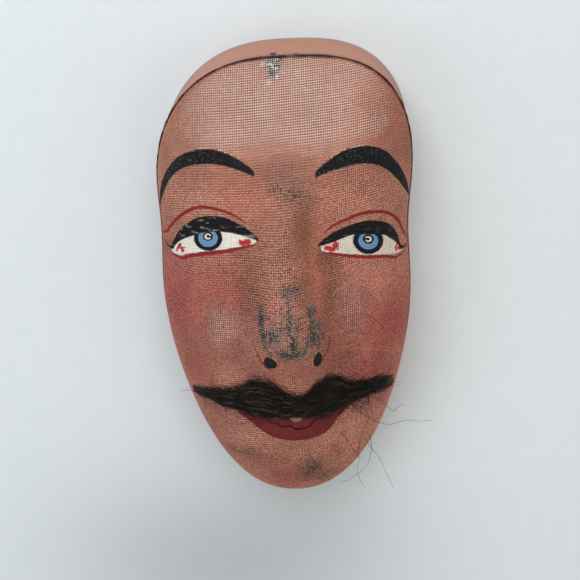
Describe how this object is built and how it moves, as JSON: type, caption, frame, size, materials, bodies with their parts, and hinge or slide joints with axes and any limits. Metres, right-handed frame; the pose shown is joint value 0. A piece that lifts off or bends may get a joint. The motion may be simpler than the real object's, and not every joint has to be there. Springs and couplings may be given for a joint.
{
  "type": "wire mesh mask",
  "caption": "Full-face carnival mask of painted woven wire cloth with a sheet-metal rim, painted brows and eyes, and a black hair moustache, lying face up.",
  "frame": {"origin": "under the middle of the mask's outline, in the plane of the rim's back edge that it lies on", "axes": "+Z out of the face, +Y up the face to the forehead, +X to the viewer's right"},
  "size_m": [0.1383, 0.2546, 0.1052],
  "materials": {
    "rose_painted_wire": "worn matt rose oil paint on woven steel wire",
    "band_paint": "smooth worn pink oil paint on sheet metal, bare at the back edge",
    "black_hair": "loose coarse hair"
  },
  "bodies": {
    "root": {"wire_mesh_face": "rose_painted_wire", "rim_band": "band_paint", "moustache": "black_hair"}
  },
  "joints": []
}
